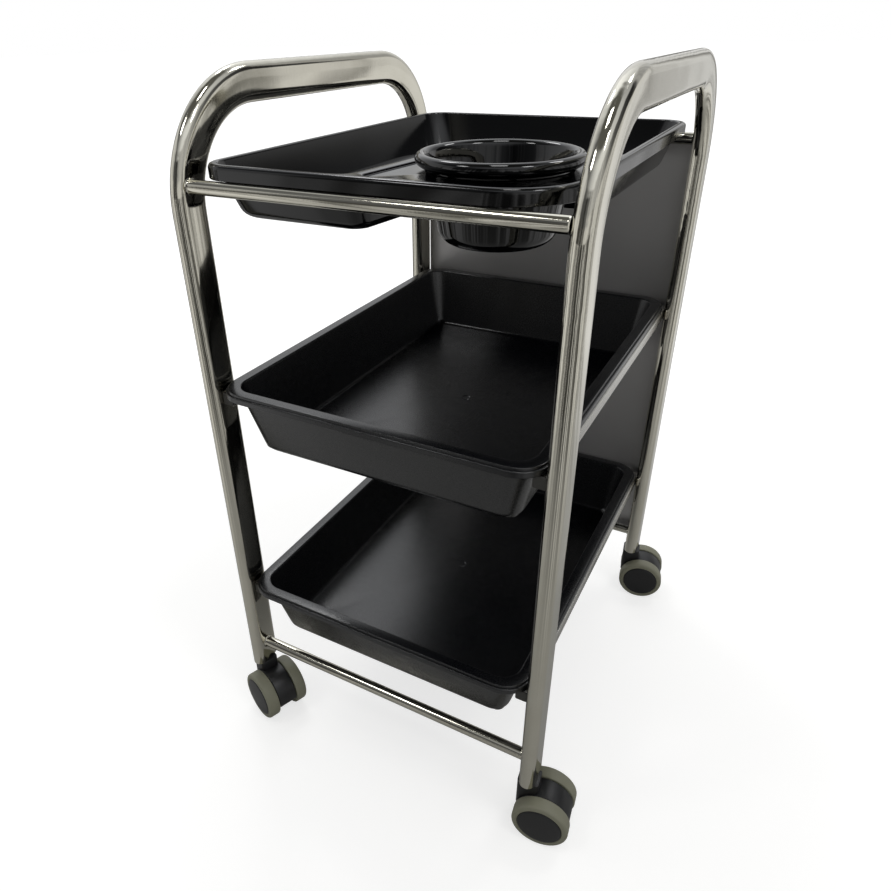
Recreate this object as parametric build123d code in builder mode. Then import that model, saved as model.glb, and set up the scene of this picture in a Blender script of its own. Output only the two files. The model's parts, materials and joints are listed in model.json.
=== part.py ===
from build123d import *
import math
import os

os.makedirs("parts", exist_ok=True)

# Instrument cart on four twin-wheel casters: two looped side frames of flat-oval tube, round
# crossbars, a sheet back, two trays that slide on side rails and a top tray with a round bowl.
# The origin is on the floor, midway between the four legs. +X is the right side, +Y the back.

# Side frames, in bent flat-oval tube
frame_height = 741.2
frame_spacing = 358.0  # left loop to right loop, centre to centre
leg_spacing = 434.0  # front leg to rear leg, centre to centre
tube_width = 34.8  # the wide way of the tube, in the plane of the loop
tube_thickness = 17.6
bend_radius = 98.8  # of the tube's centre line
tube_edge_sides = 8  # each rounded edge of the tube is cut as half of this polygon

# Round crossbars between the two frames
bar_diameter = 12.7
handle_height = 92.4  # top of the loops above the top crossbars' centre
bottom_bar_height = 101.0
front_bar_offset = 2.5  # how far the front top bar stands forward of the legs' centre

# Sheet back, a shallow pan between the two rear bars
back_sheet = 1.2
back_behind_legs = 13.0  # rear face of the sheet behind the rear legs' centre
back_flange = 14.0

# Sliding trays and the rails that carry their rims
slide_tray_heights = {"middle": 460.0, "bottom": 209.0}
slide_tray_length = 463.0
slide_tray_front = 237.5  # front edge of the lip ahead of the cart's centre
slide_tray_side_gap = 1.2
slide_tray_depth = 75.0
slide_tray_wall = 2.6
slide_tray_rim = 14.0
slide_tray_lip = 8.5
slide_tray_step = 2.5  # the rim's top face is set in from the lip
slide_tray_step_drop = 2.5
slide_tray_lean = 16.5  # how far each wall leans in between rim and floor
slide_tray_corner = 30.0
slide_tray_mouth_corner = 20.0
slide_tray_floor_chamfer = 3.0
rail_size = 12.7
rail_plug_chamfer = 1.0
rail_overhang = 7.0  # past the centre of each leg
tray_seat_gap = 0.3

# Top tray: a deep well round a flush shelf that carries the bowl
top_tray_width = 327.0
top_tray_length = 438.0
top_tray_skirt = 12.5
top_tray_wall = 2.6
top_tray_rim = 8.0
top_tray_depth = 47.0
top_tray_lean = 15.0
top_tray_corner = 30.0
bowl_corner = 60.0  # the tray's outer corner beside the bowl
well_corner = 24.0
well_floor_chamfer = 3.0
shelf_left_front = -11.0  # the shelf's slanted left edge, at the front rim
shelf_left_back = 10.0  # and at the shelf's back edge
shelf_back = -57.0
shelf_corner = 14.0
shelf_drop = 2.0

# Bowl
bowl_x = 81.0
bowl_y = -133.0
bowl_rim_diameter = 135.0
bowl_rim_height = 13.2
bowl_rim_bevel = 3.0
bowl_diameter = 116.0  # outside, under the rim
bowl_depth = 70.5
bowl_wall = 2.6
bowl_base_bevel = 3.0
bowl_hole_gap = 1.0
bowl_seat_gap = 0.3

# Twin-wheel casters
wheel_diameter = 60.6
wheel_inner_face = 12.5  # from the caster's middle plane
wheel_outer_face = 28.5
caster_trail = 18.6
hood_gap = 0.8  # between the hood and each wheel
hood_inset = 1.4  # the hood's arc inside the tread's
hood_end_angle = 12.0  # how far the hood's arc runs down past the axle at each end
stem_diameter = 11.0
stem_length = 38.0
neck_length = 23.0  # of the hood's neck under the leg, along the caster
hub_pin_diameter = 8.0
hub_pin_gap = 1.0  # between the two hub pins, inside the hood
running_gap = 0.05
swivel_gap = 0.4
caster_height = 72.2  # floor to the end of the leg
caster_angles = {
    "front_left": -20.9,
    "front_right": 6.8,
    "rear_left": 159.0,
    "rear_right": 10.6,
}

# Sizes that follow from the ones above
leg_y = leg_spacing / 2
frame_x = frame_spacing / 2
bar_length = frame_spacing - tube_thickness
inner_face_x = bar_length / 2
bar_radius = bar_diameter / 2
loop_top = frame_height - tube_width / 2
top_bar_height = frame_height - handle_height
front_bar_y = -leg_y - front_bar_offset
slide_tray_width = bar_length - 2 * slide_tray_side_gap
slide_tray_y = slide_tray_length / 2 - slide_tray_front
slide_mouth_width = slide_tray_width - 2 * slide_tray_rim
slide_mouth_length = slide_tray_length - 2 * slide_tray_rim
rail_length = leg_spacing + 2 * rail_overhang
top_tray_bottom = top_bar_height + bar_radius + tray_seat_gap
top_tray_top = top_tray_bottom + top_tray_skirt
top_tray_y = (front_bar_y + leg_y) / 2
well_width = top_tray_width - 2 * top_tray_rim
well_length = top_tray_length - 2 * top_tray_rim
shelf_top = top_tray_top - shelf_drop
wheel_radius = wheel_diameter / 2
leg_places = {
    "front_left": (-frame_x, -leg_y),
    "front_right": (frame_x, -leg_y),
    "rear_left": (-frame_x, leg_y),
    "rear_right": (frame_x, leg_y),
}


def write(piece, name):
    """Label a finished piece and write it as parts/name.step."""
    piece.part.label = name
    export_step(piece.part, f"parts/{name}.step")


def flat_oval(width, thickness):
    """Flat-oval section with its long way along Y and half polygons for its round edges."""
    with BuildSketch() as section:
        with GridLocations(0, width - thickness, 1, 2):
            RegularPolygon(thickness / 2, tube_edge_sides)
        Rectangle(thickness, width - thickness)
    return section.sketch


def tub(width, length, y, top, depth, lean, corner):
    """Solid tub that hangs from a mouth at height top, with drafted walls and round corners."""
    with BuildPart() as solid:
        with BuildSketch(Plane.XY.offset(top - depth)):
            with Locations((0, y)):
                Rectangle(width, length)
        extrude(amount=depth)
        walls = solid.faces().filter_by(Axis.Z, reverse=True)
        draft(walls, Plane.XY.offset(top), -math.degrees(math.atan2(lean, depth)))
        uprights = solid.edges().filter_by(GeomType.LINE).filter_by(Plane.XY, reverse=True)
        fillet(uprights, corner)
    return solid.part


def slide_outline(inset):
    """Plan of a sliding tray's rim, moved inward by inset."""
    with BuildSketch() as outline:
        with Locations((0, slide_tray_y)):
            RectangleRounded(
                slide_tray_width - 2 * inset, slide_tray_length - 2 * inset, slide_tray_corner - inset
            )
    return outline.sketch


def top_outline(inset):
    """Plan of the top tray's rim, moved inward by inset. The corner beside the bowl is wider."""
    with BuildSketch() as outline:
        with Locations((0, top_tray_y)):
            Rectangle(top_tray_width - 2 * inset, top_tray_length - 2 * inset)
        corners = outline.vertices().sort_by_distance((bowl_x, bowl_y, 0))
        fillet(corners[0], bowl_corner - inset)
        fillet(corners[1:], top_tray_corner - inset)
    return outline.sketch


# Each side frame is one length of flat-oval tube bent into a loop. The tube is solid here
# except for a bore up each leg for the caster's stem.
tube_section = flat_oval(tube_width, tube_thickness)
for side, x in (("left", -frame_x), ("right", frame_x)):
    with BuildPart() as side_frame:
        with BuildLine(Plane.YZ.offset(x)):
            FilletPolyline(
                (-leg_y, caster_height),
                (-leg_y, loop_top),
                (leg_y, loop_top),
                (leg_y, caster_height),
                radius=bend_radius,
            )
        with BuildSketch(Plane((x, -leg_y, caster_height))):
            add(tube_section)
        sweep()
        with BuildSketch(Plane((x, 0, caster_height))):
            with GridLocations(0, leg_spacing, 1, 2):
                Circle(stem_diameter / 2 + running_gap)
        extrude(amount=stem_length, mode=Mode.SUBTRACT)
    write(side_frame, f"{side}_side_frame")

# Four crossbars, butted against the flat inner faces of the legs.
for name, y, z in (
    ("front_top_crossbar", front_bar_y, top_bar_height),
    ("rear_top_crossbar", leg_y, top_bar_height),
    ("front_bottom_crossbar", -leg_y, bottom_bar_height),
    ("rear_bottom_crossbar", leg_y, bottom_bar_height),
):
    with BuildPart() as crossbar:
        with BuildSketch(Plane.YZ.offset(-inner_face_x)):
            with Locations((y, z)):
                Circle(bar_radius)
        extrude(amount=bar_length)
    write(crossbar, name)

# Back sheet, with a flange at the top and bottom edge turned forward to the rear bars.
back_y = leg_y + back_behind_legs
back_bottom = bottom_bar_height + bar_radius
back_top = top_bar_height - bar_radius
with BuildPart() as back_panel:
    with BuildSketch(Plane.YZ.offset(-inner_face_x)):
        with BuildLine():
            Polyline(
                (back_y - back_flange, back_bottom),
                (back_y, back_bottom),
                (back_y, back_top),
                (back_y - back_flange, back_top),
                (back_y - back_flange, back_top - back_sheet),
                (back_y - back_sheet, back_top - back_sheet),
                (back_y - back_sheet, back_bottom + back_sheet),
                (back_y - back_flange, back_bottom + back_sheet),
                close=True,
            )
        make_face()
    extrude(amount=bar_length)
write(back_panel, "back_panel")

# Side rails in square tube under the rims of the two trays, each end closed by a plug whose
# head is chamfered. The plugged tube is one solid.
rail_levels = {"middle": "middle", "bottom": "lower"}
for level, rim_top in slide_tray_heights.items():
    rail_middle = rim_top - slide_tray_lip - tray_seat_gap - rail_size / 2
    for side, sign in (("left", -1), ("right", 1)):
        with BuildPart() as rail:
            with BuildSketch(Plane.XZ.offset(-rail_length / 2)):
                with Locations((sign * (inner_face_x - rail_size / 2), rail_middle)):
                    Rectangle(rail_size, rail_size)
            extrude(amount=rail_length)
            plug_faces = rail.faces().sort_by(Axis.Y)
            chamfer(plug_faces[0].edges() + plug_faces[-1].edges(), rail_plug_chamfer)
        write(rail, f"{rail_levels[level]}_{side}_rail")

# Middle and bottom trays: a tapered tub hung by a flat rim, which steps down to a turned-down
# lip at its edge. The lips rest on the rails.
wall = slide_tray_wall
rim_face = slide_outline(slide_tray_step)
lip_face = slide_outline(0)
rim_hollow = slide_outline(slide_tray_step + wall)
for level, rim_top in slide_tray_heights.items():
    outside = tub(
        slide_mouth_width + 2 * wall,
        slide_mouth_length + 2 * wall,
        slide_tray_y,
        rim_top,
        slide_tray_depth,
        slide_tray_lean,
        slide_tray_mouth_corner + wall,
    )
    inside = tub(
        slide_mouth_width,
        slide_mouth_length,
        slide_tray_y,
        rim_top,
        slide_tray_depth - wall,
        slide_tray_lean * (slide_tray_depth - wall) / slide_tray_depth,
        slide_tray_mouth_corner,
    )
    with BuildPart() as tray:
        with BuildSketch(Plane.XY.offset(rim_top)):
            add(rim_face)
        extrude(amount=-slide_tray_lip)
        with BuildSketch(Plane.XY.offset(rim_top - slide_tray_lip)):
            add(lip_face)
        extrude(amount=slide_tray_lip - slide_tray_step_drop)
        with BuildSketch(Plane.XY.offset(rim_top - slide_tray_lip)):
            add(rim_hollow)
        extrude(amount=slide_tray_lip - wall, mode=Mode.SUBTRACT)
        add(outside)
        chamfer(tray.faces().sort_by(Axis.Z)[0].edges(), slide_tray_floor_chamfer)
        add(inside, mode=Mode.SUBTRACT)
    write(tray, f"{level}_tray")


def shelf_outline(reach):
    """Plan of the bowl shelf, its left and back edges moved outward by reach."""
    front = top_tray_y - top_tray_length / 2
    right = top_tray_width / 2
    with BuildSketch() as outline:
        with BuildLine():
            Polyline(
                (shelf_left_front - reach, front),
                (shelf_left_back - reach, shelf_back + reach),
                (right, shelf_back + reach),
                (right, front),
                close=True,
            )
        make_face()
    return outline.sketch


def well(inset):
    """Solid of the top tray's well, inset from its outer surface, without the shelf's part."""
    reach = top_tray_wall - inset
    depth = top_tray_depth - inset
    whole_tub = tub(
        well_width + 2 * reach,
        well_length + 2 * reach,
        top_tray_y,
        top_tray_top,
        depth,
        top_tray_lean * depth / top_tray_depth,
        well_corner + reach,
    )
    under_shelf = shelf_outline(-reach)
    with BuildPart() as solid:
        add(whole_tub)
        with BuildSketch(Plane.XY.offset(top_tray_top - depth)):
            add(under_shelf)
        extrude(amount=depth, mode=Mode.SUBTRACT)
        inner_corner = (shelf_left_back, shelf_back, top_tray_top - depth / 2)
        fillet(solid.edges().filter_by(Axis.Z).sort_by_distance(inner_corner)[0], shelf_corner)
    return solid.part


# Top tray. Its skirt rests on the top crossbars and its well hangs between them. The shelf at
# the front right has a hole for the bowl.
skirt_face = top_outline(0)
skirt_hollow = top_outline(top_tray_wall)
mouth = top_outline(top_tray_rim)
shelf = shelf_outline(-top_tray_rim)
well_outside = well(0)
well_inside = well(top_tray_wall)
with BuildPart() as top_tray:
    with BuildSketch(Plane.XY.offset(top_tray_bottom)):
        add(skirt_face)
    extrude(amount=top_tray_skirt)
    with BuildSketch(Plane.XY.offset(top_tray_bottom)):
        add(skirt_hollow)
    extrude(amount=top_tray_skirt - top_tray_wall - shelf_drop, mode=Mode.SUBTRACT)
    add(well_outside)
    chamfer(top_tray.faces().sort_by(Axis.Z)[0].edges(), well_floor_chamfer)
    add(well_inside, mode=Mode.SUBTRACT)
    with BuildSketch(Plane.XY.offset(shelf_top)):
        add(shelf)
        add(mouth, mode=Mode.INTERSECT)
    extrude(amount=shelf_drop, mode=Mode.SUBTRACT)
    with Locations((bowl_x, bowl_y, shelf_top)):
        Hole(bowl_diameter / 2 + bowl_hole_gap)
write(top_tray, "top_tray")

# Bowl: a round pan under a thick rim that rests on the shelf round its hole.
bowl_rim_bottom = shelf_top + bowl_seat_gap
bowl_top = bowl_rim_bottom + bowl_rim_height
with BuildPart() as bowl:
    with BuildSketch(Plane.XY.offset(bowl_top - bowl_depth)):
        with Locations((bowl_x, bowl_y)):
            Circle(bowl_diameter / 2)
    extrude(amount=bowl_depth)
    chamfer(bowl.faces().sort_by(Axis.Z)[0].edges(), bowl_base_bevel)
    with BuildSketch(Plane.XY.offset(bowl_rim_bottom)):
        with Locations((bowl_x, bowl_y)):
            Circle(bowl_rim_diameter / 2)
    extrude(amount=bowl_rim_height)
    rim_edges = bowl.edges().filter_by(GeomType.CIRCLE).sort_by(SortBy.RADIUS)[-2:]
    chamfer(rim_edges, bowl_rim_bevel)
    with BuildSketch(Plane.XY.offset(bowl_top - bowl_depth + bowl_wall)):
        with Locations((bowl_x, bowl_y)):
            Circle(bowl_diameter / 2 - bowl_wall)
    extrude(amount=bowl_depth, mode=Mode.SUBTRACT)
write(bowl, "bowl")

# Casters. Each fork is one moulding with its stem: a hood that runs over the wheels between
# them, and a neck under the leg. The two wheels turn by themselves, each on its own hub pin.
hood_width = 2 * (wheel_inner_face - hood_gap)
hood_radius = wheel_radius - hood_inset
neck_height = caster_height - swivel_gap - wheel_radius
for name, angle in caster_angles.items():
    x, y = leg_places[name]
    along = Vector(1, 0, 0).rotate(Axis.Z, angle)
    across = Vector(0, 1, 0).rotate(Axis.Z, angle)
    with BuildPart() as fork:
        with BuildSketch(Plane((x, y, wheel_radius), x_dir=along, z_dir=-across)):
            with BuildLine():
                hood_arc = CenterArc(
                    (caster_trail, 0), hood_radius, -hood_end_angle, 180 + 2 * hood_end_angle
                )
                Line(hood_arc @ 0, hood_arc @ 1)
            make_face()
            with Locations((0, neck_height / 2)):
                Rectangle(neck_length, neck_height)
            with Locations((caster_trail, 0)):
                Circle(hub_pin_diameter / 2 + running_gap, mode=Mode.SUBTRACT)
        extrude(amount=hood_width / 2, both=True)
        with BuildSketch(Plane((x, y, wheel_radius + neck_height), x_dir=along)):
            Circle(stem_diameter / 2)
        extrude(amount=stem_length)
    write(fork, f"{name}_fork")
    hub = Vector(x, y, wheel_radius) + along * caster_trail
    for hand, outward in (("left", across), ("right", -across)):
        face = Plane(hub + outward * wheel_inner_face, x_dir=along, z_dir=outward)
        with BuildPart() as wheel:
            with BuildSketch(face):
                Circle(wheel_radius)
            extrude(amount=wheel_outer_face - wheel_inner_face)
            with BuildSketch(face):
                Circle(hub_pin_diameter / 2)
            extrude(amount=-(wheel_inner_face - hub_pin_gap / 2))
        write(wheel, f"{name}_{hand}_wheel")
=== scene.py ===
import json
import math

import bmesh
import bpy
from mathutils import Matrix, Vector


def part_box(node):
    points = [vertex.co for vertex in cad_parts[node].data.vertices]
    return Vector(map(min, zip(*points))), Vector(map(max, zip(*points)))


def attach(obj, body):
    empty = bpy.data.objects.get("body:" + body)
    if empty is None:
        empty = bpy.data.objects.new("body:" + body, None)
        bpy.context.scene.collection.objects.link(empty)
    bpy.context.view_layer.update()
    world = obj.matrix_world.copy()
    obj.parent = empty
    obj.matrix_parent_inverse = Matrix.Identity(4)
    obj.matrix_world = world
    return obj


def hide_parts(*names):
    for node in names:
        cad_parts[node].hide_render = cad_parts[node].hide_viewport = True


# Instrument cart: two looped side frames on twin-wheel casters, round crossbars, a sheet back,
# two trays that slide on rails and a top tray with a bowl. One section for each kind of piece.
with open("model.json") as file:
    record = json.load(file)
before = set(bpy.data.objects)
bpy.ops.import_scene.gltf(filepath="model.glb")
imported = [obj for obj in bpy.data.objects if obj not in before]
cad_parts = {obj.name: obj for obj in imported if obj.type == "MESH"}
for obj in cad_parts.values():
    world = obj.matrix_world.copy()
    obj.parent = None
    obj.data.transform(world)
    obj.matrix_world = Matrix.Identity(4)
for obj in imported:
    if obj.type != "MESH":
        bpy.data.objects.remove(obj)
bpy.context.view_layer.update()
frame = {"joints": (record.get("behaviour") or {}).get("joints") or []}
mm = 0.001


# Side frames. Each is one length of flat-oval stainless tube, bent into a loop and polished to
# a mirror. The leg ends are cut square and take the casters' stems.
class Shade:
    """A socket of a material. Sums and products of it add Math nodes to its tree."""

    def __init__(self, tree, plug):
        self.tree = tree
        self.plug = plug

    def node(self, kind, settings, sockets, out=0):
        """Add a node with its settings and the values or links of its sockets."""
        node = self.tree.nodes.new(kind)
        for name, value in settings.items():
            if name == "stops":
                ramp = node.color_ramp.elements
                while len(ramp) < len(value):
                    ramp.new(0.5)
                for stop, (place, colour) in zip(ramp, value):
                    stop.position = place
                    stop.color = (*colour, 1)
            else:
                setattr(node, name, value)
        for name, value in sockets.items():
            if isinstance(value, Shade):
                self.tree.links.new(value.plug, node.inputs[name])
            else:
                node.inputs[name].default_value = value
        return Shade(self.tree, node.outputs[out] if node.outputs else None)

    def maths(self, operation, first, second):
        return self.node("ShaderNodeMath", {"operation": operation}, {0: first, 1: second})

    def __add__(self, other):
        return self.maths("ADD", self, other)

    def __sub__(self, other):
        return self.maths("SUBTRACT", self, other)

    def __rsub__(self, other):
        return self.maths("SUBTRACT", other, self)

    def __mul__(self, other):
        return self.maths("MULTIPLY", self, other)

    __radd__ = __add__
    __rmul__ = __mul__

    def noise(self, scale, detail=2.0, stretch=(1, 1, 1)):
        """Noise from this position, 0 to 1, with scale in features per metre."""
        place = self.node("ShaderNodeMapping", {}, {"Vector": self, "Scale": stretch})
        return self.node(
            "ShaderNodeTexNoise", {}, {"Vector": place, "Scale": scale, "Detail": detail}
        )

    def bump(self, height, depth):
        """Normal of a surface whose relief is height times depth metres."""
        return self.node(
            "ShaderNodeBump", {}, {"Height": height, "Distance": depth, "Strength": 1.0}
        )

    def between(self, start, end):
        """Mask that rises from 0 to 1 while this value goes from start to end."""
        return self.node(
            "ShaderNodeMapRange", {}, {"Value": self, "From Min": start, "From Max": end}
        )

    def blend(self, low, high):
        """Colour between low and high by this mask."""
        first, second = (end if isinstance(end, Shade) else (*end, 1) for end in (low, high))
        return self.node(
            "ShaderNodeMix", {"data_type": "RGBA"}, {0: self, 6: first, 7: second}, out=2
        )


def start_finish(name):
    """New empty material, and the piece's own coordinates in it."""
    finish = bpy.data.materials.new(name)
    finish.use_nodes = True
    finish.node_tree.nodes.clear()
    coordinates = finish.node_tree.nodes.new("ShaderNodeTexCoord")
    return finish, Shade(finish.node_tree, coordinates.outputs["Object"])


def end_finish(place, **sockets):
    """Principled shader with these sockets, named with _ for each space, to the output."""
    named = {name.replace("_", " "): value for name, value in sockets.items()}
    surface = place.node("ShaderNodeBsdfPrincipled", {}, named)
    place.node("ShaderNodeOutputMaterial", {}, {"Surface": surface})


def add_piece(name, shape, finish, body, stands_for=(), sharp=35):
    """Make an object of a bmesh, shade it smooth up to the sharp angle and fix it to its body."""
    bmesh.ops.recalc_face_normals(shape, faces=shape.faces)
    mesh = bpy.data.meshes.new(name)
    shape.to_mesh(mesh)
    shape.free()
    mesh.shade_smooth()
    mesh.set_sharp_from_angle(angle=math.radians(sharp))
    mesh.materials.append(finish)
    piece = bpy.data.objects.new(name, mesh)
    bpy.context.scene.collection.objects.link(piece)
    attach(piece, body)
    if stands_for:
        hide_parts(*stands_for)


def round_edges(shape, edges, radius, segments):
    """Round edges with a bevel."""
    bmesh.ops.bevel(
        shape,
        geom=edges,
        offset=radius,
        segments=segments,
        profile=0.5,
        affect="EDGES",
        material=-1,
    )


def move(shape, parts, offset):
    """Translate the vertices among parts."""
    verts = [part for part in parts if isinstance(part, bmesh.types.BMVert)]
    bmesh.ops.translate(shape, verts=verts, vec=offset)


tube_width = 34.8 * mm
bend_radius = 98.8 * mm
tube_wall = 1.5 * mm
crown = 0.3 * mm
low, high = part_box("right_side_frame")
loop_x = (low.x + high.x) / 2
bends_low, bends_high = 0.46, 0.60
polished_steel, place = start_finish("polished_steel")
streaks = place.noise(60, detail=3, stretch=(14, 14, 0.5))
smudges = place.noise(28, detail=4)
across, height = (place.node("ShaderNodeSeparateXYZ", {}, {0: place}, out=i) for i in (0, 2))
beside = across.maths("ABSOLUTE", across, 0) - loop_x
on_edge = beside.maths("ABSOLUTE", beside, 0).between(7.5 * mm, 4 * mm)
ripples = place.noise(80, detail=1) * height.between(bends_low, bends_high) * on_edge
waves = place.noise(9, detail=1)
end_finish(
    place,
    Base_Color=smudges.blend((0.58, 0.557, 0.475), (0.68, 0.657, 0.575)),
    Metallic=1.0,
    Roughness=0.03 + 0.05 * streaks + 0.04 * smudges,
    Normal=place.bump(8 * waves + 0.12 * streaks + 4 * ripples, 0.12 * mm),
)

round_steps, flat_cuts, bend_steps = 32, 7, 28
socket_ledge, socket_depth = 0.2 * mm, 2 * mm
for side in ("left", "right"):
    low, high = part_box(f"{side}_side_frame")
    thickness = high.x - low.x
    x = (low.x + high.x) / 2
    leg_y = high.y - tube_width / 2
    bend_z = high.z - tube_width / 2 - bend_radius
    flat = (tube_width - thickness) / 2
    tube = bmesh.new()
    bmesh.ops.create_circle(tube, segments=round_steps, radius=thickness / 2 - crown)
    half_step = Matrix.Rotation(math.pi / round_steps, 3, "Z")
    bmesh.ops.rotate(tube, verts=tube.verts, matrix=half_step)
    for vert in tube.verts:
        vert.co.y += math.copysign(flat + crown, vert.co.y)
    sides = [edge for edge in tube.edges if edge.calc_length() > flat]
    bmesh.ops.subdivide_edges(tube, edges=sides, cuts=flat_cuts)
    for vert in tube.verts:
        if abs(vert.co.y) < flat + crown:
            vert.co.x += math.copysign(crown, vert.co.x) * (1 - (vert.co.y / (flat + crown)) ** 2)
    bmesh.ops.translate(tube, verts=tube.verts, vec=(x, -leg_y, low.z))
    run = tube.edges[:]
    for length, towards in ((bend_z - low.z, (0, 0, 1)), (2 * (leg_y - bend_radius), (0, 1, 0))):
        run = bmesh.ops.extrude_edge_only(tube, edges=run)["geom"]
        move(tube, run, Vector(towards) * length)
        run = [part for part in run if isinstance(part, bmesh.types.BMEdge)]
        run = [edge for edge in run if edge.is_boundary]
        centre_y = math.copysign(leg_y - bend_radius, sum(edge.verts[0].co.y for edge in run))
        run = bmesh.ops.spin(
            tube,
            geom=run,
            cent=(x, centre_y, bend_z),
            axis=(-1, 0, 0),
            angle=math.pi / 2,
            steps=bend_steps,
            use_duplicate=False,
        )["geom_last"]
        run = [part for part in run if isinstance(part, bmesh.types.BMEdge)]
    run = bmesh.ops.extrude_edge_only(tube, edges=run)["geom"]
    move(tube, run, (0, 0, low.z - bend_z))
    ends = bmesh.ops.holes_fill(tube, edges=tube.edges, sides=round_steps)["faces"]
    bmesh.ops.recalc_face_normals(tube, faces=tube.faces)
    bmesh.ops.inset_individual(tube, faces=ends, thickness=tube_wall, depth=0, use_even_offset=True)
    bmesh.ops.inset_individual(tube, faces=ends, thickness=socket_ledge, depth=-socket_depth)
    add_piece(
        f"{side}_loop", tube, polished_steel, "frame", [f"{side}_side_frame"]
    )


# Crossbars: round stainless tube, polished like the frames and TIG-welded to the flat inner
# faces of the legs, with a small bead of weld round each end.
bead = 1.5 * mm
bar_steps = 40
swell = (-0.7, 0.35), (-0.25, 0.5), (-0.05, 0.65)
for name in (
    "front_top_crossbar",
    "rear_top_crossbar",
    "front_bottom_crossbar",
    "rear_bottom_crossbar",
):
    low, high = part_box(name)
    rows = [(grow, rise * bead) for grow, rise in swell]
    rows.append((0, high.x - low.x - 2 * bead * sum(rise for _, rise in swell)))
    rows += [(-grow, rise * bead) for grow, rise in reversed(swell)]
    radius = (high.z - low.z) / 2
    bar = bmesh.new()
    bmesh.ops.create_circle(bar, segments=bar_steps, radius=radius + bead)
    run = bar.edges[:]
    for grow, step in rows:
        run = bmesh.ops.extrude_edge_only(bar, edges=run)["geom"]
        verts = [part for part in run if isinstance(part, bmesh.types.BMVert)]
        for vert in verts:
            reach = Vector((vert.co.x, vert.co.y)).length
            vert.co.xy *= (reach + grow * bead) / reach
        bmesh.ops.translate(bar, verts=verts, vec=(0, 0, step))
        run = [part for part in run if isinstance(part, bmesh.types.BMEdge)]
    bmesh.ops.holes_fill(bar, edges=bar.edges)
    bmesh.ops.rotate(bar, verts=bar.verts, matrix=Matrix.Rotation(math.pi / 2, 3, "Y"))
    centre = Vector((low.x, (low.y + high.y) / 2, (low.z + high.z) / 2))
    bmesh.ops.translate(bar, verts=bar.verts, vec=centre)
    label = name.replace("crossbar", "bar")
    add_piece(label, bar, polished_steel, "frame", [name])


# Back panel: one satin stainless sheet closing the back between the two rear bars, with its
# top and bottom edges folded forward and tacked to the bars.
satin_steel, place = start_finish("satin_steel")
grain = place.noise(300, detail=3, stretch=(0.06, 1, 4))
clouds = place.noise(7, detail=3)
end_finish(
    place,
    Base_Color=clouds.blend((0.54, 0.53, 0.525), (0.61, 0.60, 0.595)),
    Metallic=0.8,
    Roughness=0.40 + 0.10 * grain,
    Normal=place.bump(grain, 0.02 * mm),
)

low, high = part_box("back_panel")
sheet = 1.2 * mm
fold_radius = 2.0 * mm
panel = bmesh.new()
corners = (low.y, low.z), (high.y, low.z), (high.y, high.z), (low.y, high.z)
profile = [panel.verts.new((low.x, y, z)) for y, z in corners]
strip = [panel.edges.new(pair) for pair in zip(profile, profile[1:])]
run = bmesh.ops.extrude_edge_only(panel, edges=strip)["geom"]
move(panel, run, (high.x - low.x, 0, 0))
folds = [edge for edge in panel.edges if len(edge.link_faces) == 2]
round_edges(panel, folds, fold_radius, segments=5)
bmesh.ops.recalc_face_normals(panel, faces=panel.faces)
bmesh.ops.solidify(panel, geom=panel.faces[:], thickness=sheet)
add_piece("back_sheet", panel, satin_steel, "frame", ["back_panel"])


# Rails: square stainless tube welded to the inner faces of the legs, each end closed by a dark
# plastic plug with a chamfered head. The lips of the two sliding trays run on them.
rail_steel, place = start_finish("rail_steel")
scuffs = place.noise(240, detail=3, stretch=(1, 0.05, 1))
end_finish(
    place,
    Base_Color=scuffs.blend((0.46, 0.45, 0.42), (0.60, 0.585, 0.55)),
    Metallic=1.0,
    Roughness=0.20 + 0.14 * scuffs,
    Normal=place.bump(scuffs, 0.02 * mm),
)


def loop(shape, corners, height):
    """Closed loop of edges at a height. Each corner is x, y and the radius of its rounding."""
    older = set(shape.edges)
    verts = [shape.verts.new((x, y, height)) for x, y, _ in corners]
    for start, end in zip(verts, verts[1:] + verts[:1]):
        shape.edges.new((start, end))
    for vert, (_, _, radius) in zip(verts, corners):
        bmesh.ops.bevel(
            shape,
            geom=[vert],
            offset=radius,
            segments=8,
            profile=0.5,
            affect="VERTICES",
            material=-1,
        )
    return [edge for edge in shape.edges if edge not in older]


def skin(shape, loops):
    """Join each loop to the next with a band of faces."""
    for first, second in zip(loops, loops[1:]):
        bmesh.ops.bridge_loops(shape, edges=first + second)


def disc(shape, radius, centre):
    """Round loop of edges about a centre."""
    older = set(shape.edges)
    verts = bmesh.ops.create_circle(shape, segments=64, radius=radius)["verts"]
    bmesh.ops.translate(shape, verts=verts, vec=centre)
    return [edge for edge in shape.edges if edge not in older]


def oblong(low, high, inset, radius):
    """Corners of a box's plan, moved inward by inset, all with one radius."""
    left, front = low.x + inset, low.y + inset
    right, back = high.x - inset, high.y - inset
    return [(x, y, radius) for x, y in ((left, front), (right, front), (right, back), (left, back))]


plug_plastic, place = start_finish("plug_plastic")
scuffs = place.noise(500, detail=2)
end_finish(
    place,
    Base_Color=scuffs.blend((0.035, 0.034, 0.030), (0.055, 0.053, 0.046)),
    Roughness=0.45 + 0.2 * scuffs,
    Normal=place.bump(scuffs, 0.03 * mm),
)

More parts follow.
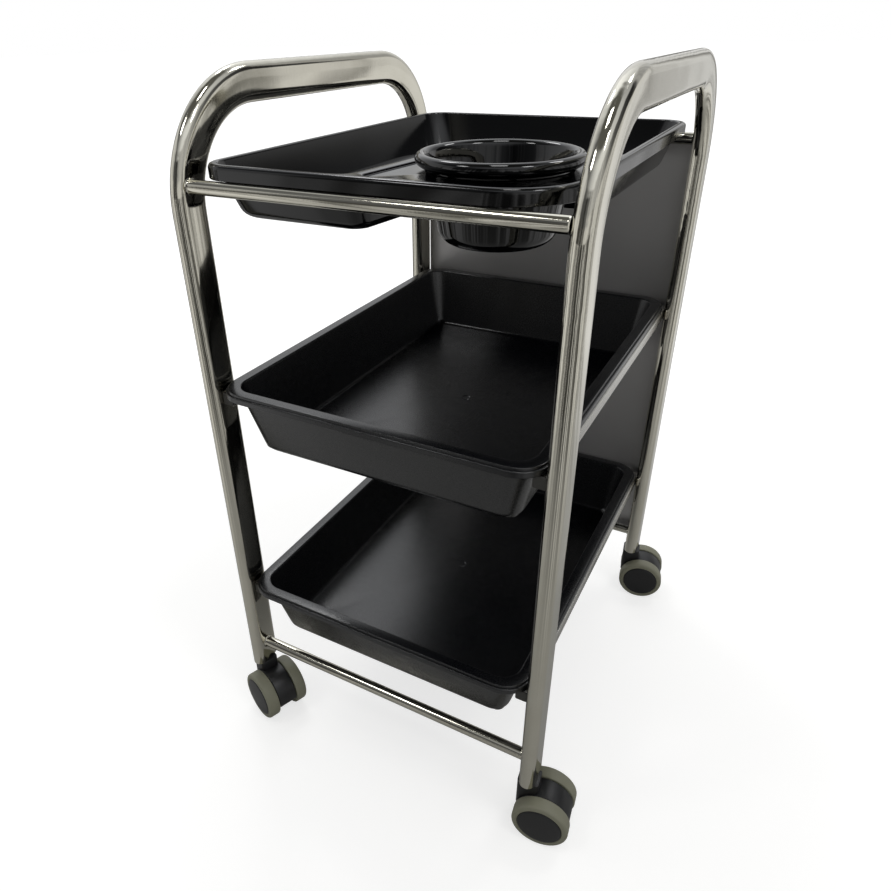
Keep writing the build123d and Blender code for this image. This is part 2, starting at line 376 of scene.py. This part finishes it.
rail_corner = 1.6 * mm
plug_head = 1.4 * mm
plug_rows = (0.2 * mm, plug_head), (0.2 * mm, 0.7 * mm), (0.9 * mm, 0)
for level in ("middle", "lower"):
    for side in ("left", "right"):
        name = f"{level}_{side}_rail"
        low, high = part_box(name)
        section = [Vector((corner.x, corner.z, 0)) for corner in (low, high)]
        rail, plugs = bmesh.new(), bmesh.new()
        ends = (low.y, 1), (high.y, -1)
        outline = oblong(*section, 0, rail_corner)
        tube = [loop(rail, outline, -(y + way * plug_head)) for y, way in ends]
        skin(rail, tube)
        for band in tube:
            bmesh.ops.contextual_create(rail, geom=band)
        for y, way in ends:
            head = [
                loop(plugs, oblong(*section, inset, rail_corner - 0.5 * inset), -(y + way * depth))
                for inset, depth in plug_rows
            ]
            skin(plugs, head)
            for band in (head[0], head[-1]):
                bmesh.ops.contextual_create(plugs, geom=band)
        upright = Matrix.Rotation(math.pi / 2, 3, "X")
        for shape in (rail, plugs):
            bmesh.ops.rotate(shape, verts=shape.verts, matrix=upright)
        add_piece(f"{level}_{side}_runner", rail, rail_steel, "frame", [name])
        add_piece(f"{level}_{side}_plugs", plugs, plug_plastic, "frame")


# Sliding trays: injection-moulded black plastic tubs. A flat rim with a turned-down lip runs
# round the mouth and rests on the rails, and the floor still shows the mark of the mould's gate.
black_plastic, place = start_finish("black_plastic")
grain = place.noise(1500, detail=2)
clouds = place.noise(14, detail=3)
end_finish(
    place,
    Base_Color=clouds.blend((0.0006, 0.0009, 0.0018), (0.0012, 0.0016, 0.0028)),
    Roughness=0.22 + 0.05 * clouds + 0.06 * grain,
    Specular_IOR_Level=0.8,
    Normal=place.bump(grain, 0.02 * mm),
)

tray_wall = 2.6 * mm
hair = 0.05 * mm
rim, lip, lean = 14 * mm, 8.5 * mm, 16.5 * mm
step_in, step_drop = 2.5 * mm, 2.5 * mm
lip_edge, step_edge, mouth, crease, foot = 1.2 * mm, 0.7 * mm, 1.8 * mm, 4 * mm, 13 * mm
plan_corner, mouth_corner, floor_corner, under_corner = 30 * mm, 34 * mm, 9 * mm, 18 * mm
gate_y, gate_reach, gate_rise = -9 * mm, 4.6 * mm, 0.6 * mm


def arc(start, steps):
    """Angles from start to a right angle."""
    return [start + (math.pi / 2 - start) * step / steps for step in range(steps + 1)]


def leaning_wall(inset, slope, depth, radius):
    """Inset, drop and reach of the loops from a leaning wall round its foot to the floor."""
    steepest = math.atan(slope)
    start = inset + slope * (depth - radius * (1 - math.sin(steepest)))
    rows = []
    for turn in arc(steepest, 6):
        reach = radius * (math.cos(steepest) - math.cos(turn))
        rows.append((start + reach, depth - radius * (1 - math.sin(turn)), reach))
    return rows


def rings(shape, box, rows):
    """Loops round a box's plan. Each row is inset, drop below its top and corner radius."""
    return [
        loop(shape, oblong(*box, inset, radius), box[1].z - drop) for inset, drop, radius in rows
    ]


lip_rows = [
    (tray_wall, lip - 2 * hair, plan_corner - 2.5 * mm),
    (0.5 * mm, lip, plan_corner - 0.5 * mm),
    (0, lip - 0.6 * mm, plan_corner),
]
for turn in arc(0, 4):
    inset = lip_edge * (1 - math.cos(turn))
    lip_rows.append((inset, step_drop + lip_edge * (1 - math.sin(turn)), plan_corner - inset))
lip_rows.append((step_in - 0.3 * mm, step_drop - hair, plan_corner - 2.2 * mm))
for turn in arc(0, 4):
    inset = step_in + step_edge * (1 - math.cos(turn))
    lip_rows.append((inset, step_edge * (1 - math.sin(turn)), plan_corner - inset))
for turn in arc(0, 4):
    inset = rim - mouth * (1 - math.sin(turn))
    lip_rows.append((inset, hair + mouth * (1 - math.cos(turn)), mouth_corner - inset))
under_rows = [
    (step_in + tray_wall, tray_wall, 25 * mm),
    (rim - tray_wall, tray_wall + 2 * hair, 22 * mm),
]
gate_rows = (0.8 * mm, 0), (0.3 * mm, gate_rise), (-0.3 * mm, gate_rise - hair), (-1 * mm, 0)
for level in ("middle", "bottom"):
    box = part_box(f"{level}_tray")
    depth = box[1].z - box[0].z
    floor_z = box[0].z + tray_wall
    tray = bmesh.new()
    wall_rows = leaning_wall(rim, lean / depth, depth - tray_wall, crease)
    wall_rows = [(inset, drop, floor_corner - 0.5 * reach) for inset, drop, reach in wall_rows]
    upper = rings(tray, box, lip_rows + wall_rows)
    skin(tray, upper)
    gate = [
        disc(tray, gate_reach + way, Vector((0, gate_y, floor_z + rise))) for way, rise in gate_rows
    ]
    skin(tray, gate)
    bmesh.ops.triangle_fill(tray, edges=upper[-1] + gate[0], use_beauty=True)
    bmesh.ops.contextual_create(tray, geom=gate[-1])
    wall_rows = leaning_wall(rim - tray_wall, lean / depth, depth, foot)
    wall_rows = [(inset, drop, under_corner - 0.5 * reach) for inset, drop, reach in wall_rows]
    under = [upper[0], *rings(tray, box, under_rows + wall_rows)]
    skin(tray, under)
    bmesh.ops.contextual_create(tray, geom=under[-1])
    add_piece(
        f"{level}_tub", tray, black_plastic, f"{level}_tray", [f"{level}_tray"]
    )


# Top tray: one black moulding that hangs between the top crossbars by its skirt. An L-shaped
# well wraps round a nearly flush shelf, and a hole in the shelf takes the bowl. Its mould is
# polished more finely than the sliding trays'.
glossy_plastic, place = start_finish("glossy_plastic")
grain = place.noise(900, detail=2)
clouds = place.noise(18, detail=3)
end_finish(
    place,
    Base_Color=clouds.blend((0.0008, 0.0009, 0.0012), (0.0014, 0.0015, 0.0019)),
    Roughness=0.07 + 0.05 * clouds + 0.03 * grain,
    Normal=place.bump(grain, 0.01 * mm),
)
low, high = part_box("top_tray")
bowl_low, bowl_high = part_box("bowl")
bowl_x, bowl_y = (bowl_low.x + bowl_high.x) / 2, (bowl_low.y + bowl_high.y) / 2
top_rim, top_lean = 8 * mm, 15 * mm
edge, mouth, crease = 3.6 * mm, 1.6 * mm, 9 * mm
tray_corner, bowl_corner, well_corner, recess_corner = 30 * mm, 60 * mm, 24 * mm, 9 * mm
shelf_corner, notch_corner, shelf_draft = 12 * mm, 14 * mm, 0.8 * mm
shelf_back, shelf_front_x, shelf_back_x = -57 * mm, -11 * mm, 10 * mm
shelf_slant = (shelf_back_x - shelf_front_x) / (shelf_back - low.y)
ridge, recess_drop, hole_edge = 1 * mm, 2 * mm, 0.8 * mm
bowl_lap, seat_gap, skirt_below_plate = 8.5 * mm, 0.3 * mm, 7.9 * mm
hole = (bowl_high.x - bowl_low.x) / 2 - bowl_lap
skirt = high.z - (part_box("front_top_crossbar")[1].z + seat_gap)
under_plate = skirt - skirt_below_plate
well_depth = high.z - low.z
slope = top_lean / well_depth
top = bmesh.new()


def rim_ring(inset, drop):
    """Loop round the whole tray. Its corner beside the bowl is wider than the others."""
    corners = oblong(low, high, inset, tray_corner - inset)
    corners[1] = (*corners[1][:2], bowl_corner - inset)
    return loop(top, corners, high.z - drop)


def well_ring(inset, drop, part, radius):
    """Loop round the L-shaped well. The outer walls are inset from the rim, the shelf's by part."""
    left, front = low.x + inset, low.y + inset
    right, back = high.x - inset, high.y - inset
    split = shelf_front_x - part + shelf_slant * (front - low.y)
    corners = [
        (left, front, radius),
        (split, front, min(radius, shelf_corner)),
        (shelf_back_x - part, shelf_back + part, notch_corner + part),
        (right, shelf_back + part, min(radius, shelf_corner)),
        (right, back, radius),
        (left, back, radius),
    ]
    return loop(top, corners, high.z - drop)


def shelf_ring(inset, drop, radius):
    """Loop round the shelf's shallow recess, inside the ridge and the rim."""
    front = low.y + top_rim + inset
    back = shelf_back - top_rim - inset
    right = high.x - top_rim - inset
    left = [shelf_front_x + top_rim + inset + shelf_slant * (y - low.y) for y in (front, back)]
    corners = [
        (left[0], front, radius),
        (right, front, bowl_corner - top_rim - inset),
        (right, back, radius),
        (left[1], back, radius),
    ]
    return loop(top, corners, high.z - drop)


def bowl_ring(radius, drop):
    """Round loop in the shelf, at the bowl's place."""
    return disc(top, radius, Vector((bowl_x, bowl_y, high.z - drop)))


outside = [
    rim_ring(tray_wall, skirt - 2 * hair),
    rim_ring(0.5 * mm, skirt),
    rim_ring(0, skirt - 0.5 * mm),
]
for turn in arc(0, 5):
    outside.append(rim_ring(edge * (1 - math.cos(turn)), edge * (1 - math.sin(turn))))
skin(top, outside)
well = []
for turn in arc(0, 4):
    part = mouth * (1 - math.sin(turn))
    well.append(well_ring(top_rim - part, mouth * (1 - math.cos(turn)), part, well_corner))
for inset, drop, reach in leaning_wall(top_rim, slope, well_depth - tray_wall, crease):
    radius = well_corner - 2 * mm - 0.3 * reach
    well.append(well_ring(inset, drop, shelf_draft + reach, radius))
skin(top, well)
bmesh.ops.contextual_create(top, geom=well[-1])
recess = []
for turn in arc(0, 3):
    inset, drop = -ridge * (1 - math.sin(turn)), ridge * (1 - math.cos(turn))
    recess.append(shelf_ring(inset, drop, recess_corner))
for turn in arc(0, 3):
    inset, drop = ridge * (1 - math.cos(turn)), ridge * (1 + math.sin(turn))
    recess.append(shelf_ring(inset, drop, recess_corner - ridge))
skin(top, recess)
bmesh.ops.triangle_fill(top, edges=outside[-1] + well[0] + recess[0], use_beauty=True)
rim_of_hole = [
    bowl_ring(hole + hole_edge, recess_drop),
    bowl_ring(hole, recess_drop + hole_edge),
    bowl_ring(hole, under_plate),
]
skin(top, rim_of_hole)
bmesh.ops.triangle_fill(top, edges=recess[-1] + rim_of_hole[0], use_beauty=True)
inner_skirt = rim_ring(tray_wall, under_plate)
skin(top, [outside[0], inner_skirt])
inner_rim = top_rim - tray_wall
start = inner_rim + slope * under_plate
under = [well_ring(start, under_plate, -tray_wall, well_corner + 1 * mm)]
for inset, drop, reach in leaning_wall(inner_rim, slope, well_depth, crease + tray_wall):
    part = shelf_draft - tray_wall + reach
    under.append(well_ring(inset, drop, part, well_corner - 0.3 * reach))
skin(top, under)
bmesh.ops.contextual_create(top, geom=under[-1])
bmesh.ops.triangle_fill(top, edges=inner_skirt + under[0] + rim_of_hole[-1], use_beauty=True)
add_piece("top_tub", top, glossy_plastic, "top_tray", ["top_tray"])


# Bowl: a round black bowl in glossy plastic, with a thick rolled rim that rests on the shelf
# round its hole. It lifts out.
black_gloss, place = start_finish("black_gloss")
ripple = place.noise(30, detail=1)
end_finish(
    place,
    Base_Color=ripple.blend((0.0006, 0.0007, 0.0009), (0.0012, 0.0013, 0.0016)),
    Roughness=0.04 + 0.03 * ripple,
    Normal=place.bump(ripple, 0.25 * mm),
)


def turned(profile, axis, steps):
    """Solid of revolution about an axis from a closed profile of distance from it and height."""
    shape = bmesh.new()
    across = Vector((1, 0, 0)) if axis.z else Vector((0, 0, 1))
    verts = [shape.verts.new(reach * across + height * axis) for reach, height in profile]
    edges = [
        shape.edges.new((verts[i - 1], verts[i]))
        for i in range(len(verts))
        if max(profile[i - 1][0], profile[i][0]) > 0
    ]
    bmesh.ops.spin(
        shape,
        geom=verts + edges,
        cent=(0, 0, 0),
        axis=axis,
        angle=math.tau,
        steps=steps,
        use_merge=True,
        use_duplicate=False,
    )
    bmesh.ops.remove_doubles(shape, verts=shape.verts, dist=0.005 * mm)
    return shape


def rounded(reach, height, radius, start, end, steps=5):
    """Points of an arc of a profile, from start to end degrees, where 0 is along the height."""
    turns = [math.radians(start + (end - start) * step / steps) for step in range(steps + 1)]
    return [(reach + radius * math.sin(turn), height + radius * math.cos(turn)) for turn in turns]


bowl_rim, bowl_wall = 4.9 * mm, 2.6 * mm
body_top, body_base, base_round, below_rim = 58 * mm, 47 * mm, 12 * mm, 13 * mm
bowl_steps = 96
outer = (bowl_high.x - bowl_low.x) / 2
bottom, top_z = bowl_low.z, bowl_high.z
inner_foot = body_base - base_round
outer_foot = inner_foot + 0.4 * bowl_wall
under_rim = top_z - below_rim
profile = rounded(outer - bowl_rim, top_z - bowl_rim, bowl_rim, 152, -70, 14)
profile += [(body_top - bowl_wall, under_rim)]
profile += rounded(inner_foot, bottom + bowl_wall + base_round, base_round, 100, 180, 7)
profile += [(0, bottom + bowl_wall), (0, bottom)]
lower_round = base_round + 0.6 * bowl_wall
profile += rounded(outer_foot, bottom + lower_round, lower_round, 180, 100, 7)
profile += [(body_top, under_rim)]
bowl = turned(profile, Vector((0, 0, 1)), bowl_steps)
bmesh.ops.translate(bowl, verts=bowl.verts, vec=(bowl_x, bowl_y, 0))
add_piece("round_bowl", bowl, black_gloss, "bowl", ["bowl"], sharp=50)


# Casters: a nylon hood with its neck under the leg, between two wheels that turn by themselves.
# Each wheel has an olive-grey tread moulded over its rim and a domed charcoal cap.
hood_plastic, place = start_finish("hood_plastic")
grain = place.noise(1800, detail=2)
clouds = place.noise(40, detail=3)
end_finish(
    place,
    Base_Color=clouds.blend((0.006, 0.006, 0.0065), (0.010, 0.010, 0.011)),
    Roughness=0.34 + 0.10 * clouds,
    Normal=place.bump(grain, 0.03 * mm),
)
tread_rubber, place = start_finish("tread_rubber")
grain = place.noise(1400, detail=3)
clouds = place.noise(60, detail=3)
end_finish(
    place,
    Base_Color=clouds.blend((0.185, 0.181, 0.128), (0.240, 0.236, 0.172)),
    Roughness=0.42 + 0.16 * clouds,
    Normal=place.bump(grain, 0.04 * mm),
)

joints = {joint["name"]: joint for joint in frame["joints"]}
hood_half, hood_gap, hood_base, hood_edge = 11.7 * mm, 1.4 * mm, 6.3 * mm, 0.9 * mm
neck_length, neck_width, neck_foot = 23 * mm, 22.2 * mm, 4 * mm
neck_corner, neck_edge = 4 * mm, 0.8 * mm
neck_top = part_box("left_side_frame")[0].z - 0.4 * mm
wheel_inner, tread_outer, cap_outer = 12.5 * mm, 27.0 * mm, 28.5 * mm
bore, cap_seat = 4 * mm, tread_outer - 3 * mm
shoulder, groove = 3.3 * mm, 23.9 * mm
inner_edge, cap_edge = 1.2 * mm, 1 * mm
cap_reach = groove - 0.25 * mm
cap_side = tread_outer - 0.5 * mm
dome_rise = cap_outer - cap_side - cap_edge
dome_shares = (0.9, 0.75, 0.6, 0.45, 0.3, 0.15)
wheel_steps = 72
for corner in ("front_left", "front_right", "rear_left", "rear_right"):
    swivel = Vector(joints[f"{corner}_swivel"]["pos_m"])
    hub = Vector(joints[f"{corner}_left_spin"]["pos_m"])
    wheel_radius = hub.z
    trail = (hub - swivel).xy.length
    along = (hub - swivel).xy.angle_signed(Vector((1, 0)))
    stand = Matrix.Translation((swivel.x, swivel.y, 0)) @ Matrix.Rotation(along, 4, "Z")
    hood = bmesh.new()
    bmesh.ops.create_circle(
        hood, segments=wheel_steps, radius=wheel_radius - hood_gap, cap_ends=True
    )
    bmesh.ops.bisect_plane(
        hood,
        geom=hood.verts[:] + hood.edges[:] + hood.faces[:],
        plane_co=(0, -hood_base, 0),
        plane_no=(0, -1, 0),
        clear_outer=True,
    )
    pushed = bmesh.ops.extrude_face_region(hood, geom=hood.faces[:])["geom"]
    move(hood, pushed, (0, 0, 2 * hood_half))
    bmesh.ops.translate(hood, verts=hood.verts, vec=(0, 0, -hood_half))
    bmesh.ops.rotate(hood, verts=hood.verts, matrix=Matrix.Rotation(math.pi / 2, 3, "X"))
    sides = [edge for edge in hood.edges if edge.calc_face_angle(0) > 1]
    round_edges(hood, sides, hood_edge, segments=3)
    bmesh.ops.translate(hood, verts=hood.verts, vec=(trail, 0, wheel_radius))
    bmesh.ops.transform(hood, verts=hood.verts, matrix=stand)
    body = f"{corner}_caster"
    add_piece(f"{corner}_hood", hood, hood_plastic, body, [f"{corner}_fork"])
    neck = bmesh.new()
    bmesh.ops.create_cube(neck, size=1)
    neck_base = wheel_radius + neck_foot
    bmesh.ops.scale(neck, verts=neck.verts, vec=(neck_length, neck_width, neck_top - neck_base))
    upright = [edge for edge in neck.edges if edge.verts[0].co.z * edge.verts[1].co.z < 0]
    round_edges(neck, upright, neck_corner, segments=6)
    brim = [edge for edge in neck.edges if min(vert.co.z for vert in edge.verts) > 0]
    round_edges(neck, brim, neck_edge, segments=3)
    bmesh.ops.translate(neck, verts=neck.verts, vec=(0, 0, (neck_top + neck_base) / 2))
    bmesh.ops.transform(neck, verts=neck.verts, matrix=stand)
    add_piece(f"{corner}_neck", neck, hood_plastic, body)
    for hand, outward in (("left", 1), ("right", -1)):
        inside = wheel_radius - inner_edge
        profile = [(bore, wheel_inner), (inside - inner_edge, wheel_inner)]
        profile += rounded(inside, wheel_inner + inner_edge, inner_edge, 180, 90, 3)
        profile += rounded(wheel_radius - shoulder, tread_outer - shoulder, shoulder, 90, 20)
        profile += [
            (groove + 0.7 * mm, tread_outer + 0.1 * mm),
            (groove, tread_outer - 0.6 * mm),
            (groove, cap_seat),
            (bore, cap_seat),
        ]
        tread = turned(profile, Vector((0, 1, 0)), wheel_steps)
        dome = [(0, cap_seat), (cap_reach, cap_seat), (cap_reach, cap_side)]
        dome += rounded(cap_reach - cap_edge, cap_side, cap_edge, 90, 15, 4)
        dome += [(cap_reach * share, cap_outer - dome_rise * share**2) for share in dome_shares]
        dome += [(0, cap_outer)]
        cap = turned(dome, Vector((0, 1, 0)), wheel_steps)
        body = f"{corner}_{hand}_wheel"
        for shape, finish, slot, kind, stands_for in (
            (tread, tread_rubber, "tread", "tread", [body]),
            (cap, hood_plastic, "hood_plastic", "cap", ()),
        ):
            if outward < 0:
                bmesh.ops.scale(shape, verts=shape.verts, vec=(1, -1, 1))
            bmesh.ops.translate(shape, verts=shape.verts, vec=(trail, 0, wheel_radius))
            bmesh.ops.transform(shape, verts=shape.verts, matrix=stand)
            add_piece(f"{corner}_{hand}_{kind}", shape, finish, body, stands_for)


# Studio: a pale floor under a plain white surround. The part stands in a hall lit by its walls,
# windows and ceiling. The steel and plastic mirror the white surround between the hall's posts.
studio = bpy.context.scene
studio.view_settings.view_transform = "Standard"


def rays(tree):
    """Masks for what the camera sees itself and what it sees mirrored or through something."""
    path = tree.nodes.new("ShaderNodeLightPath")
    kinds = ("Is Camera Ray", "Is Glossy Ray", "Is Transmission Ray")
    camera, glossy, through = (Shade(tree, path.outputs[kind]) for kind in kinds)
    return camera, glossy + through


def around(place, greys, tone):
    """A tone's grey by the compass direction of place: ten greys clockwise, the first in front."""
    flat = place.node("ShaderNodeVectorMath", {"operation": "MULTIPLY"}, {0: place, 1: (1, 1, 0)})
    compass = flat.node("ShaderNodeVectorMath", {"operation": "NORMALIZE"}, {0: flat})
    east, north = (compass.node("ShaderNodeSeparateXYZ", {}, {0: compass}, out=i) for i in (0, 1))
    turn = 0.5 + (0.5 / math.pi) * east.maths("ARCTAN2", east, north)
    ring = (*greys, greys[0])
    stops = [(i / 10, [grey * share for share in tone]) for i, grey in enumerate(ring)]
    return compass, turn.node("ShaderNodeValToRGB", {"stops": stops}, {"Fac": turn})


def gaps(compass, wall):
    """Mask of the gaps between a wall's posts. They are wider where the wall is lighter."""
    mixed = 0.45 * compass.noise(3.5, detail=2.0) + 0.55 * compass.noise(14, detail=4.0)
    return (mixed.between(0.38, 0.62) + wall).between(0.8, 1.3)


def dimmed(wall, level):
    """The wall's colour times a level."""
    return wall.node("ShaderNodeVectorMath", {"operation": "MULTIPLY"}, {0: wall, 1: level})


white = (1, 1, 1)
warm, cool = (1.0, 0.985, 0.93), (0.98, 1.0, 1.03)
floor_level = (0.20, 0.70, 0.66, 0.14, 0.42, 0.60, 0.80, 0.60, 0.38, 0.24)
lower_walls = (0.15, 0.30, 1.20, 0.32, 0.48, 0.65, 0.95, 0.75, 0.60, 0.80)
upper_walls = (0.06, 0.20, 1.15, 0.90, 1.70, 1.00, 0.03, 0.25, 0.70, 0.55)
ceiling_sides = (0.65, 0.20, 0.12, 0.70, 1.40, 0.90, 0.50, 0.80, 1.00, 0.95)
floor_finish, place = start_finish("studio_floor")
seen, mirrored = rays(place.tree)
distance = place.node("ShaderNodeVectorMath", {"operation": "LENGTH"}, {0: place}, out=1)
far = distance.between(0.45, 1.3)
surface = place.node("ShaderNodeBsdfDiffuse", {}, {"Color": (0.50, 0.495, 0.48, 1)})
lift = seen * (0.66 + 0.20 * far)
glow = place.node("ShaderNodeEmission", {}, {"Color": (*white, 1), "Strength": lift})
plain = place.node("ShaderNodeAddShader", {}, {0: surface, 1: glow})
compass, wall = around(place, floor_level, warm)
posts = dimmed(wall, (0.25, 0.25, 0.25))
reflected = (0.85 * gaps(compass, wall)).blend(posts, white)
reflection = place.node("ShaderNodeEmission", {}, {"Color": reflected})
either = place.node("ShaderNodeMixShader", {}, {0: mirrored * far, 1: plain, 2: reflection})
place.node("ShaderNodeOutputMaterial", {}, {"Surface": either})
ground = bmesh.new()
bmesh.ops.create_grid(ground, x_segments=1, y_segments=1, size=30)
floor_mesh = bpy.data.meshes.new("studio_floor")
ground.to_mesh(floor_mesh)
ground.free()
floor_mesh.materials.append(floor_finish)
floor = bpy.data.objects.new("studio_floor", floor_mesh)
studio.collection.objects.link(floor)

surround = bpy.data.worlds.new("surround")
surround.use_nodes = True
surround.node_tree.nodes.clear()
studio.world = surround
coordinates = surround.node_tree.nodes.new("ShaderNodeTexCoord")
direction = Shade(surround.node_tree, coordinates.outputs["Generated"])
seen, mirrored = rays(surround.node_tree)
height = direction.node("ShaderNodeSeparateXYZ", {}, {"Vector": direction}, out=2)


def above(low, high):
    """Mask of the directions that point higher than about a height."""
    return height.node(
        "ShaderNodeMapRange",
        {"interpolation_type": "SMOOTHSTEP"},
        {"Value": height, "From Min": low, "From Max": high},
    )


compass, room = around(direction, lower_walls, warm)
in_windows, in_ceiling, in_zenith = above(0.16, 0.26), above(0.50, 0.60), above(0.80, 0.92)
room = in_windows.blend(room, around(direction, upper_walls, cool)[1])
room = in_ceiling.blend(room, around(direction, ceiling_sides, cool)[1])
room = in_zenith.blend(room, (0.12, 0.12, 0.11))
striped = mirrored * (0.75 - 0.35 * in_windows - 0.4 * in_ceiling)
shown = (seen + striped * gaps(compass, room)).blend(dimmed(room, 1 - striped), white)
background = shown.node("ShaderNodeBackground", {}, {"Color": shown, "Strength": 1.0})
background.node("ShaderNodeOutputWorld", {}, {"Surface": background})

middle = Vector((0, 0, 0.4))
for name, spot in (
    ("back_left_panel", (-1.2, 1.0, 2.4)),
    ("back_right_panel", (0.7, 1.3, 2.4)),
    ("front_left_panel", (-0.9, -1.2, 2.4)),
    ("front_right_panel", (1.3, -0.5, 2.4)),
    ("middle_panel", (0.1, -0.2, 2.6)),
):
    lamp = bpy.data.lights.new(name, "AREA")
    lamp.shape = "SQUARE"
    lamp.size = 0.4
    lamp.energy = 5
    lamp_object = bpy.data.objects.new(name, lamp)
    lamp_object.location = spot
    lamp_object.rotation_euler = (Vector(spot) - middle).to_track_quat("Z", "Y").to_euler()
    studio.collection.objects.link(lamp_object)

lens = bpy.data.cameras.new("camera")
lens.sensor_width = 36.0
lens.lens = 28.69
lens.shift_x = 0.04396
lens.shift_y = -0.00736
lens.clip_end = 100
camera = bpy.data.objects.new("camera", lens)
camera.matrix_world = (
    Matrix.Translation((0.30874, -0.68778, 0.76494))
    @ Matrix.Rotation(math.radians(29.94), 4, "Z")
    @ Matrix.Rotation(math.radians(90 - 30.16), 4, "X")
    @ Matrix.Rotation(math.radians(-1.48), 4, "Z")
)
studio.collection.objects.link(camera)
studio.camera = camera
